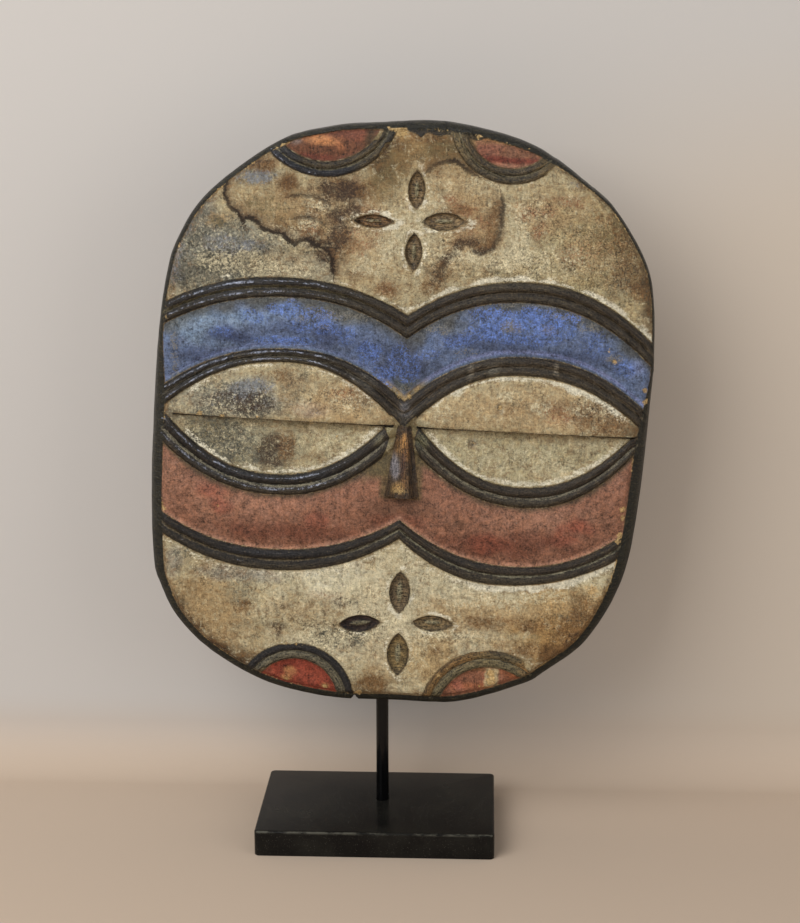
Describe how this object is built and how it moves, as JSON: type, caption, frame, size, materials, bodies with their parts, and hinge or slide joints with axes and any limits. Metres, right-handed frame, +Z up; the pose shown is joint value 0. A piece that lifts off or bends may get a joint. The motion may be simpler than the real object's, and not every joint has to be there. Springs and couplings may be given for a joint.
{
  "type": "carved wooden face mask on a stand",
  "caption": "Round flat wooden face mask, carved in low relief and painted blue, red and cream, on a thin black rod in a flat rectangular black base.",
  "frame": {"origin": "middle of the base's underside", "axes": "+Z up, the face looks along -Y, +X to the right of a viewer in front of the face"},
  "size_m": [0.3311, 0.106, 0.4808],
  "materials": {
    "painted_wood": "matte",
    "black_metal": "gloss",
    "black_wood": "satin"
  },
  "bodies": {
    "root": {"mask": "painted_wood", "rod": "black_metal", "base": "black_wood"}
  },
  "joints": []
}
